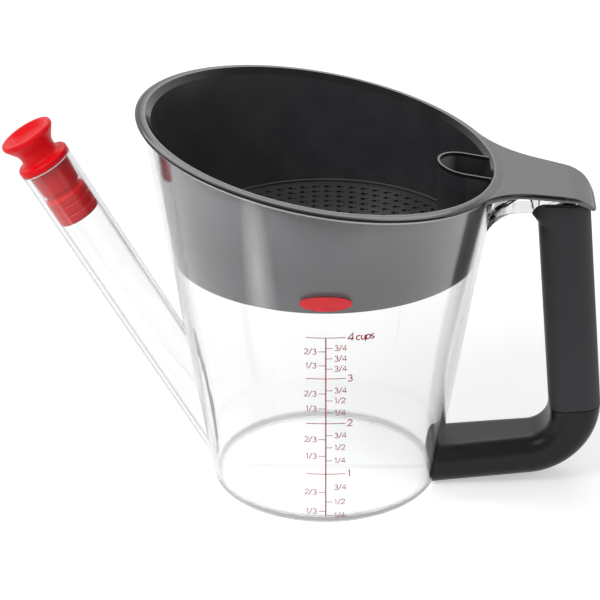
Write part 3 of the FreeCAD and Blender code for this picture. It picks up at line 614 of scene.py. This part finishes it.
class Finish:
    """A material with one Principled surface, and short ways to add to its nodes.

    The colour and roughness that it starts with are plain stand-ins for what its nodes give.
    """

    def __init__(self, name, colour, roughness, **sockets):
        self.material = bpy.data.materials.new(name)
        self.material.use_nodes = True
        self.tree = self.material.node_tree
        self.surface = next(n for n in self.tree.nodes if n.type == "BSDF_PRINCIPLED")
        self.surface.inputs["Base Color"].default_value = (*colour, 1)
        self.surface.inputs["Roughness"].default_value = roughness
        for socket, value in sockets.items():
            self.surface.inputs[socket.replace("_", " ")].default_value = value
        coordinates = self.node("ShaderNodeTexCoord")
        self.place = coordinates.outputs["Object"]
        self.normal = coordinates.outputs["Normal"]

    def node(self, kind, inputs=None, **settings):
        return add_node(self.tree, kind, inputs, **settings)

    def noise(self, scale, detail=2.0, stretch=(1, 1, 1)):
        """A noise in object space, from 0 to 1."""
        stretched = self.node("ShaderNodeMapping", {"Vector": self.place, "Scale": stretch})
        texture = {"Vector": stretched.outputs["Vector"], "Scale": scale, "Detail": detail}
        return self.node("ShaderNodeTexNoise", texture).outputs["Fac"]

    def dot(self, vector, way):
        """The dot product of a vector with another one or with a fixed direction."""
        product = self.node("ShaderNodeVectorMath", {0: vector, 1: way}, operation="DOT_PRODUCT")
        return product.outputs["Value"]

    def along(self, way):
        """How far a point lies in a direction."""
        return self.dot(self.place, way)

    def spoke_from(self, x):
        """The level vector from an upright axis at x millimetres."""
        moved = {0: self.place, 1: (1, 1, 0), 2: (-x * MILLIMETRE, 0, 0)}
        return self.node("ShaderNodeVectorMath", moved, operation="MULTIPLY_ADD").outputs["Vector"]

    def length(self, vector):
        return self.node("ShaderNodeVectorMath", {0: vector}, operation="LENGTH").outputs["Value"]

    def times(self, first, *others):
        for other in others:
            first = math_node(self.tree, "MULTIPLY", first, other)
        return first

    def larger(self, first, *others):
        for other in others:
            first = math_node(self.tree, "MAXIMUM", first, other)
        return first

    def between(self, factor, low, high, start=0.3, end=0.7):
        """A number that runs from low to high as factor runs from start to end."""
        return map_range(self.tree, factor, start, end, low, high)

    def past(self, distance, start, end):
        """A mask that is 0 up to start and 1 from end on, both in millimetres."""
        return self.between(distance, 0, 1, start * MILLIMETRE, end * MILLIMETRE)

    def short_of(self, distance, start, end):
        """A mask that is 1 up to start and 0 from end on, both in millimetres."""
        return self.between(distance, 1, 0, start * MILLIMETRE, end * MILLIMETRE)

    def mixed(self, factor, low, high):
        """A colour between two others, each of them fixed or a node's output."""
        inputs = {"Factor": factor}
        for socket, colour in (("A", low), ("B", high)):
            inputs[socket] = (*colour, 1) if isinstance(colour, tuple) else colour
        return self.node("ShaderNodeMix", inputs, data_type="RGBA").outputs["Result"]

    def colours(self, factor, low, high, start=0.3, end=0.7):
        """A colour that runs from low to high as factor runs from start to end."""
        return self.mixed(self.between(factor, 0, 1, start, end), low, high)

    def ramp(self, factor, stops):
        """A colour along stops of (factor, colour)."""
        ramp = self.node("ShaderNodeValToRGB", {"Fac": factor})
        elements = ramp.color_ramp.elements
        while len(elements) < len(stops):
            elements.new(1.0)
        for element, (at, colour) in zip(elements, stops):
            element.position = at
            element.color = (*colour, 1)
        return ramp.outputs["Color"]

    def bump(self, height, distance, strength):
        raised = self.node("ShaderNodeBump", {"Height": height, "Distance": distance, "Strength": strength})
        self.set("Normal", raised.outputs["Normal"])

    def set(self, socket, value):
        self.tree.links.new(value, self.surface.inputs[socket])

    def put_on(self, piece):
        if not piece.material_slots:
            piece.data.materials.append(self.material)
        for slot in piece.material_slots:
            slot.material = self.material


# ---- finishes ---------------------------------------------------------------------------------------------
# The clear plastic's own faint tint square on (0), and painted shade that darkens it towards edge on (1).
CLEAR_TINT_AND_EDGE_SHADE = [
    (0.58, (0.945, 0.947, 0.948)),
    (0.66, (0.860, 0.864, 0.868)),
    (0.76, (0.640, 0.645, 0.650)),
    (1.00, (0.520, 0.525, 0.530)),
]
# The spout's walls are thick for its size, and painted shade darkens it more strongly towards its edges.
SPOUT_TINT_AND_EDGE_SHADE = [
    (0.40, (0.950, 0.952, 0.953)),
    (0.56, (0.800, 0.804, 0.810)),
    (0.70, (0.360, 0.362, 0.370)),
    (1.00, (0.260, 0.262, 0.270)),
]
SEAM = 0.4                    # half the width of the parting line in the plane y = 0
SEAM_TINT = (0.55, 0.55, 0.56)
FLOOR_CORNER_SHADE = (0.80, 0.81, 0.82)   # painted shade round the inner corner of the floor
BRIDGE_SHADE = (0.84, 0.84, 0.85)   # painted shade greys the solid bridge, and dark streaks are painted at its root
STREAK_SHADE = (0.30, 0.30, 0.32)
BRIDGE_START = 60.0           # from the jug's axis
STREAKS_END = 84.0
FADE = 6.0                    # both of these fade in and out over this much
MATT_HIGHLIGHT = 0.35                   # how much light goes through where the clear plastic is made matt, a pale band that paints a highlight
SHADOW_TINT = (0.97, 0.972, 0.974)


def clear_finish():
    """Clear plastic, with painted shade that darkens it where it is seen at a flat angle, and a faint
    waviness.
    """
    finish = Finish("clear_plastic", CLEAR_TINT_AND_EDGE_SHADE[0][1], 0.0, IOR=1.49, Transmission_Weight=1.0)
    # Painted shade: the tint darkens as the surface turns edge on.
    facing = finish.node("ShaderNodeLayerWeight", {"Blend": 0.5}).outputs["Facing"]
    to_right = finish.along((1, 0, 0))
    height = finish.along((0, 0, 1))
    from_axis = finish.length(finish.spoke_from(0))

    # Painted shade shows the floor's inner corner as a grey ring.
    ring = finish.times(finish.past(from_axis, BASE_RADIUS - 5.1, BASE_RADIUS - 3.4),
                        finish.short_of(from_axis, BASE_RADIUS - 1.3, BASE_RADIUS - 0.9))
    low = finish.times(finish.past(height, FLOOR_THICKNESS - 0.5, FLOOR_THICKNESS - 0.2),
                       finish.short_of(height, FLOOR_THICKNESS + 1.9, FLOOR_THICKNESS + 3.4))
    tint = finish.mixed(finish.times(ring, low), finish.ramp(facing, CLEAR_TINT_AND_EDGE_SHADE), FLOOR_CORNER_SHADE)

    # What lies outside the wall is the spout on the left, and the bridge on the right.
    from_cone = math_node(finish.tree, "ADD", from_axis, finish.along((0, 0, -DRAFT)))
    outside = finish.past(from_cone, BASE_RADIUS + 0.4, BASE_RADIUS + 0.9)
    on_spout = finish.times(outside, finish.short_of(to_right, -1, 1))
    tint = finish.mixed(on_spout, tint, finish.ramp(facing, SPOUT_TINT_AND_EDGE_SHADE))

    # Painted shade: the bridge is greyed, and dark streaks are painted at its root.
    on_bridge = finish.times(outside, finish.past(to_right, BRIDGE_START, BRIDGE_START + FADE))
    root = finish.times(on_bridge, finish.short_of(to_right, STREAKS_END - FADE, STREAKS_END))
    painted_streaks = finish.between(finish.noise(260, 1.0, (1, 1, 0.08)), 0, 1, 0.53, 0.60)
    streak_shaded = finish.mixed(finish.times(root, painted_streaks), BRIDGE_SHADE, STREAK_SHADE)
    tint = finish.mixed(on_bridge, tint, streak_shaded)

    beside_seam = math_node(finish.tree, "ABSOLUTE", finish.along((0, 1, 0)))
    off_seam = finish.past(beside_seam, SEAM / 2, SEAM)
    finish.set("Base Color", finish.mixed(off_seam, SEAM_TINT, tint))

    # Painted highlights: pale matt bands on the lip, the spout's end and the base's edge.
    highlight_bands = painted_highlight_places(finish, height, from_axis)
    finish.set("Transmission Weight", finish.between(highlight_bands, 1.0, MATT_HIGHLIGHT, 0, 1))
    finish.set("Roughness", finish.between(finish.noise(60), 0.0, 0.01))
    finish.bump(finish.noise(45, 1.0), 0.0003, 0.05)
    let_lamps_through(finish)
    return finish


def painted_highlight_places(finish, height, from_axis):
    """A mask for the lip's outer edge, the end of the spout and the edge of the base, which are made matt as
    painted highlight lines.
    """
    level = finish.along((FALL, 0, 1))
    from_rim_axis = finish.length(finish.spoke_from(RIM_X))
    lip = finish.times(finish.past(level, RIM_HEIGHT - LIP_HEIGHT, RIM_HEIGHT - LIP_HEIGHT + 0.2),
                       finish.past(from_rim_axis, WALL_AT_RIM + 0.5, WALL_AT_RIM + 0.8))
    mouth = MOUTH.dot(SPOUT_WAY)
    spout_end = finish.past(finish.along(tuple(SPOUT_WAY)), mouth - 0.6, mouth - 0.4)
    base = finish.times(finish.short_of(height, BASE_EDGE_RADIUS + 0.4, BASE_EDGE_RADIUS + 1.8),
                        finish.past(from_axis, BASE_RADIUS - 3.1, BASE_RADIUS - 1.6))
    return finish.larger(lip, spout_end, base)


def let_lamps_through(finish):
    """Lets the lamps light what stands inside the clear plastic and behind it."""
    shadow = finish.node("ShaderNodeLightPath").outputs["Is Shadow Ray"]
    passing = finish.node("ShaderNodeBsdfTransparent", {"Color": (*SHADOW_TINT, 1)})
    either = finish.node("ShaderNodeMixShader", {
        "Fac": shadow, 1: finish.surface.outputs[0], 2: passing.outputs[0],
    })
    output = next(n for n in finish.tree.nodes if n.type == "OUTPUT_MATERIAL")
    finish.tree.links.new(either.outputs[0], output.inputs["Surface"])


# Levels on the strainer's rim are measured at the jug's axis, on planes that fall as the rim plane does.
CREST = RIM_HEIGHT + 1.5      # the top of the rim
HIGHLIGHT_EDGE = RIM_HEIGHT + 1.7  # its highest line, painted lighter as a highlight
PAINTED_LIGHT_RISE = (128.0, 154.0)     # painted light: the outside of the cup is painted lighter upwards between these
TAB_SIDE = 62.0               # where the rim's side towards the tab starts, from the jug's axis


def strainer_finish():
    """Satin on the rim's top and the tab, a finer satin outside the cup, and polished elsewhere, with
    painted light and shade in the colours: the rim's top, the tab and the cup's outside are painted lighter,
    the rim's outer side and the inside darker.
    """
    finish = Finish("strainer_black", (0.03, 0.03, 0.032), 0.3)
    # The cosine between a face and the rim plane.
    parallel = finish.dot(finish.normal, (math.sin(RIM_TILT), 0, math.cos(RIM_TILT)))
    to_right = finish.along((1, 0, 0))
    level = finish.along((FALL, 0, 1))
    spoke = finish.spoke_from(RIM_X)
    reach = finish.length(spoke)

    past_bend = finish.past(to_right, BEND_X - 3, BEND_X)
    on_bend = finish.times(past_bend, finish.between(parallel, 0, 1, 0.50, 0.78))
    placed = finish.larger(
        finish.past(level, CREST - 0.16, CREST),
        finish.past(to_right, TAB_SIDE, TAB_SIDE + 8),
        finish.past(reach, RIM_RADIUS - 0.6, RIM_RADIUS),
        finish.short_of(reach, RIM_RADIUS - 7, RIM_RADIUS - 6.5),
    )
    on_top = finish.larger(finish.times(finish.between(parallel, 0, 1, 0.93, 0.965), placed), on_bend)
    outside = finish.times(finish.between(finish.dot(finish.normal, spoke), 0, 1, 0.01, 0.03),
                           finish.short_of(level, RIM_HEIGHT - 1.0, RIM_HEIGHT - 0.2))
    below_rim = finish.short_of(level, RIM_HEIGHT - 0.9, RIM_HEIGHT - 0.5)

    grain = finish.noise(2600, 3.0)
    # Painted light: the satin of the rim's top and the tab is a lighter copy of the black.
    satin = finish.colours(grain, (0.10, 0.10, 0.105), (0.155, 0.155, 0.16))
    # Painted highlight: the colour is lighter along the rim's highest line.
    edge_highlight = finish.colours(grain, (0.24, 0.24, 0.245), (0.34, 0.34, 0.345))
    satin = finish.mixed(finish.past(level, HIGHLIGHT_EDGE - 0.08, HIGHLIGHT_EDGE), satin, edge_highlight)
    # Painted light: the cup's outside is a lighter copy of the black, lighter still upwards.
    outside_lit = finish.mixed(finish.past(level, *PAINTED_LIGHT_RISE), (0.118, 0.116, 0.129), (0.19, 0.187, 0.203))
    # Painted shade: the inside and the rim's outer side are darker copies of the black.
    shaded_inside = finish.colours(finish.noise(90), (0.030, 0.030, 0.034), (0.040, 0.040, 0.044))
    shaded_rim_side = finish.colours(finish.noise(90), (0.009, 0.009, 0.010), (0.012, 0.012, 0.013))
    polished = finish.mixed(below_rim, shaded_rim_side, shaded_inside)
    finish.set("Base Color", finish.mixed(on_top, finish.mixed(outside, polished, outside_lit), satin))

    bent_down = finish.times(past_bend, finish.between(parallel, 1, 0, 0.55, 0.85))
    finish.set("Roughness", finish.larger(
        finish.between(below_rim, 0.12, 0.30, 0, 1),
        finish.between(on_top, 0.0, 0.42, 0, 1),
        finish.between(bent_down, 0.0, 0.9, 0, 1),
    ))
    finish.bump(finish.times(grain, on_top), 0.00002, 0.3)
    return finish


def floor_plate_finish():
    """Satin on the plate's faces, and painted shade, near black, on the walls of its holes."""
    finish = Finish("strainer_floor_black", (0.05, 0.05, 0.052), 0.35)
    facing_up_or_down = math_node(finish.tree, "ABSOLUTE", finish.dot(finish.normal, (0, 0, 1)))
    grain = finish.noise(700, 3.0)
    plate = finish.colours(grain, (0.050, 0.050, 0.053), (0.072, 0.072, 0.075))
    # Painted shade: the walls of the holes are near black.
    hole_shade = finish.colours(grain, (0.004, 0.004, 0.004), (0.006, 0.006, 0.006))
    on_plate = finish.between(facing_up_or_down, 0, 1, 0.6, 0.9)
    finish.set("Base Color", finish.mixed(on_plate, hole_shade, plate))
    finish.bump(finish.noise(1800, 2.0), 0.00002, 0.5)
    return finish


def silicone_finish():
    finish = Finish("red_silicone", (0.88, 0.006, 0.012), 0.38, Specular_IOR_Level=0.15)
    cloud = finish.noise(120, 3.0)
    finish.set("Base Color", finish.colours(cloud, (0.85, 0.005, 0.010), (0.91, 0.007, 0.014)))
    finish.set("Roughness", finish.between(finish.noise(900), 0.30, 0.42))
    finish.bump(finish.noise(2200), 0.00002, 0.4)
    return finish


def frame_finish():
    finish = Finish("handle_black", (0.018, 0.018, 0.019), 0.33, Specular_IOR_Level=0.22)
    cloud = finish.noise(300, 3.0)
    finish.set("Base Color", finish.colours(cloud, (0.016, 0.016, 0.017), (0.019, 0.019, 0.020)))
    finish.set("Roughness", finish.between(finish.noise(500, 3.0), 0.30, 0.36))
    finish.bump(finish.noise(1600), 0.00002, 0.3)
    return finish


GLOSS_BAND = 1.5              # the top of the grip under the clear cap is darker and glossy


def grip_finish():
    finish = Finish("soft_grip", (0.035, 0.035, 0.04), 0.62)
    grain = finish.noise(3200, 3.0)
    skin_end = GRIP_TOP - GLOSS_BAND
    skin = finish.short_of(finish.along((0, 0, 1)), skin_end, skin_end + 0.2)
    soft = finish.colours(grain, (0.023, 0.023, 0.027), (0.036, 0.036, 0.041))
    # A darker, glossier band along the grip's top.
    dark_top_band = finish.colours(grain, (0.010, 0.010, 0.011), (0.014, 0.014, 0.015))
    finish.set("Base Color", finish.mixed(skin, dark_top_band, soft))
    finish.set("Roughness", finish.between(skin, 0.2, 0.62, 0, 1))
    finish.bump(finish.times(grain, skin), 0.00003, 0.7)
    return finish


def badge_finish():
    finish = Finish("badge_red", (0.86, 0.02, 0.03), 0.3)
    cloud = finish.noise(400)
    finish.set("Base Color", finish.colours(cloud, (0.83, 0.016, 0.026), (0.89, 0.022, 0.034)))
    finish.bump(finish.noise(1800), 0.00002, 0.3)
    return finish


def ink_finish():
    finish = Finish("scale_ink", (0.38, 0.02, 0.03), 0.55)
    cloud = finish.noise(900, 3.0)
    finish.set("Base Color", finish.colours(cloud, (0.34, 0.016, 0.026), (0.42, 0.024, 0.036)))
    return finish


# ---- studio, in metres ------------------------------------------------------------------------------------
FLOOR_REACH = 4.0
FLOOR_GLOW = 0.45             # brings the floor to white where it is seen, and leaves the shadow on it
FLOOR_TONE = 0.8
FRONT_TONE = 0.12
FLOOR_FRONT = -0.21           # in a reflection, the white floor fades out in front of this line
FRONT_FADE = 0.04
ROOM_FRONT = 0.25             # the dark side of the room, as glossy surfaces see it
AMBIENT = 0.42
POOL_CENTRE = (-0.140, -0.150)
POOL_REACH = (0.085, 0.040)
POOL_TURN = math.radians(36.0)
POOL_STRENGTH = 5.4
LAMPS = [
    ("key", (-0.9, -0.7, 1.3), (0, 0, 0.08), (0.8, 0.8), 12.0),
    ("fill", (1.2, -0.6, 0.8), (0, 0, 0.08), (0.7, 0.7), 3.0),
    ("back", (0.1, 1.1, 1.2), (0, 0, 0.1), (1.2, 0.5), 5.0),
]
CAMERA_TARGET = Vector((-0.01113, 0, 0.08472))
CAMERA_TURN = 0.0196          # radians to the right of the front
CAMERA_RISE = 0.4525
CAMERA_ROLL = -0.0019
CAMERA_DISTANCE = 1.33775
CAMERA_LENS = 182.44
CAMERA_SENSOR = 36


def seen_directly(tree, path):
    """1 for what the camera, a reflection or clear plastic sees, and 0 for what only lights the object."""
    seen = math_node(tree, "MAXIMUM", path["Is Camera Ray"], path["Is Glossy Ray"])
    seen = math_node(tree, "MAXIMUM", seen, path["Is Transmission Ray"])
    return math_node(tree, "MULTIPLY", seen, map_range(tree, path["Diffuse Depth"], 0.0, 1.0, 1.0, 0.0))


def forward(tree, coordinates):
    """The Y of a point or of a direction."""
    place = add_node(tree, "ShaderNodeTexCoord").outputs[coordinates]
    return add_node(tree, "ShaderNodeSeparateXYZ", {"Vector": place}).outputs["Y"]


def make_floor():
    """A plain floor, white where it is seen and darker in front of the object in reflections."""
    sides = (-FLOOR_REACH, FLOOR_REACH)
    corners = [(sides[i], sides[j], -AIR * MILLIMETRE) for i, j in ((0, 0), (1, 0), (1, 1), (0, 1))]
    floor = object_from("floor", corners, [(0, 1, 2, 3)])
    material = bpy.data.materials.new("white_floor")
    material.use_nodes = True
    tree = material.node_tree
    tree.nodes.clear()

    path = add_node(tree, "ShaderNodeLightPath").outputs
    mirrored = math_node(tree, "MULTIPLY", path["Is Glossy Ray"], path["Is Reflection Ray"])
    far_front = map_range(tree, forward(tree, "Object"), FLOOR_FRONT - FRONT_FADE, FLOOR_FRONT, 1.0, 0.0)
    hidden = math_node(tree, "MULTIPLY", far_front, mirrored)
    shown = math_node(tree, "SUBTRACT", seen_directly(tree, path), hidden)
    plain = map_range(tree, shown, 0.0, 1.0, 0.0, FLOOR_GLOW)
    pool = math_node(tree, "MULTIPLY", light_pool(tree), mirrored)
    glow = add_node(tree, "ShaderNodeEmission", {"Strength": math_node(tree, "ADD", plain, pool)})
    tone = add_node(tree, "ShaderNodeMix", {
        "Factor": hidden, "A": (FLOOR_TONE,) * 3 + (1,), "B": (FRONT_TONE,) * 3 + (1,),
    }, data_type="RGBA")
    diffuse = add_node(tree, "ShaderNodeBsdfDiffuse", {"Color": tone.outputs["Result"]})
    both = add_node(tree, "ShaderNodeAddShader", {0: diffuse.outputs[0], 1: glow.outputs[0]})
    add_node(tree, "ShaderNodeOutputMaterial", {"Surface": both.outputs[0]})
    floor.data.materials.append(material)


def light_pool(tree):
    """A soft oval of light on the floor at the front left, which shows as the highlight on the jug."""
    place = add_node(tree, "ShaderNodeMapping", {
        "Vector": add_node(tree, "ShaderNodeTexCoord").outputs["Object"],
        "Location": (*POOL_CENTRE, 0), "Rotation": (0, 0, POOL_TURN), "Scale": (*POOL_REACH, 1),
    }, vector_type="TEXTURE")
    shape = {"Vector": place.outputs["Vector"]}
    oval = add_node(tree, "ShaderNodeTexGradient", shape, gradient_type="SPHERICAL").outputs["Fac"]
    return map_range(tree, oval, 0.0, 1.0, 0.0, POOL_STRENGTH)


def make_world():
    """A plain level of light.  What is seen of it is white, apart from the front of the room in gloss."""
    world = bpy.data.worlds.new("studio")
    bpy.context.scene.world = world
    world.use_nodes = True
    tree = world.node_tree
    path = add_node(tree, "ShaderNodeLightPath").outputs
    straight = math_node(tree, "MAXIMUM", path["Is Camera Ray"], path["Is Transmission Ray"])
    room = map_range(tree, forward(tree, "Generated"), 0.05, 0.5, ROOM_FRONT, 1.0)
    seen = add_node(tree, "ShaderNodeMix", {"Factor": straight, "A": room, "B": 1.0})
    strength = add_node(tree, "ShaderNodeMix", {
        "Factor": seen_directly(tree, path), "A": AMBIENT, "B": seen.outputs["Result"],
    })
    back = tree.nodes["Background"]
    back.inputs["Color"].default_value = (1, 1, 1, 1)
    tree.links.new(strength.outputs["Result"], back.inputs["Strength"])


def add_lamp(name, place, target, size, watts):
    data = bpy.data.lights.new(name, "AREA")
    data.shape = "RECTANGLE"
    data.size, data.size_y = size
    data.energy = watts
    lamp = make_object(name, data)
    lamp.location = place
    lamp.rotation_euler = (Vector(target) - Vector(place)).to_track_quat("-Z", "Y").to_euler()


def make_camera():
    level = math.cos(CAMERA_RISE)
    back = Vector((math.sin(CAMERA_TURN) * level, -math.cos(CAMERA_TURN) * level, math.sin(CAMERA_RISE)))
    data = bpy.data.cameras.new("camera")
    data.lens = CAMERA_LENS
    data.sensor_width = CAMERA_SENSOR
    data.clip_end = 50
    camera = make_object("camera", data)
    camera.location = CAMERA_TARGET + back * CAMERA_DISTANCE
    camera.rotation_mode = "QUATERNION"
    camera.rotation_quaternion = back.to_track_quat("Z", "Y") @ Quaternion((0, 0, 1), CAMERA_ROLL)
    bpy.context.scene.camera = camera


# ---- the scene --------------------------------------------------------------------------------------------
make_camera()
make_floor()
make_world()
for lamp in LAMPS:
    add_lamp(*lamp)
bpy.context.scene.view_settings.view_transform = "Standard"

clear_body = make_clear_body()
clear_finish().put_on(clear_body)
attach(clear_body, "jug_body")
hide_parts("jug", "spout_tube")

scale_print = make_scale_print()
ink_finish().put_on(scale_print)
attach(scale_print, "jug_body")

strainer_finish().put_on(NODES["strainer_cup"])
floor_plate_finish().put_on(NODES["strainer_floor"])
silicone_finish().put_on(NODES["stopper"])
frame_finish().put_on(NODES["handle_frame"])
grip_finish().put_on(NODES["grip_sleeve"])
badge_finish().put_on(NODES["badge"])
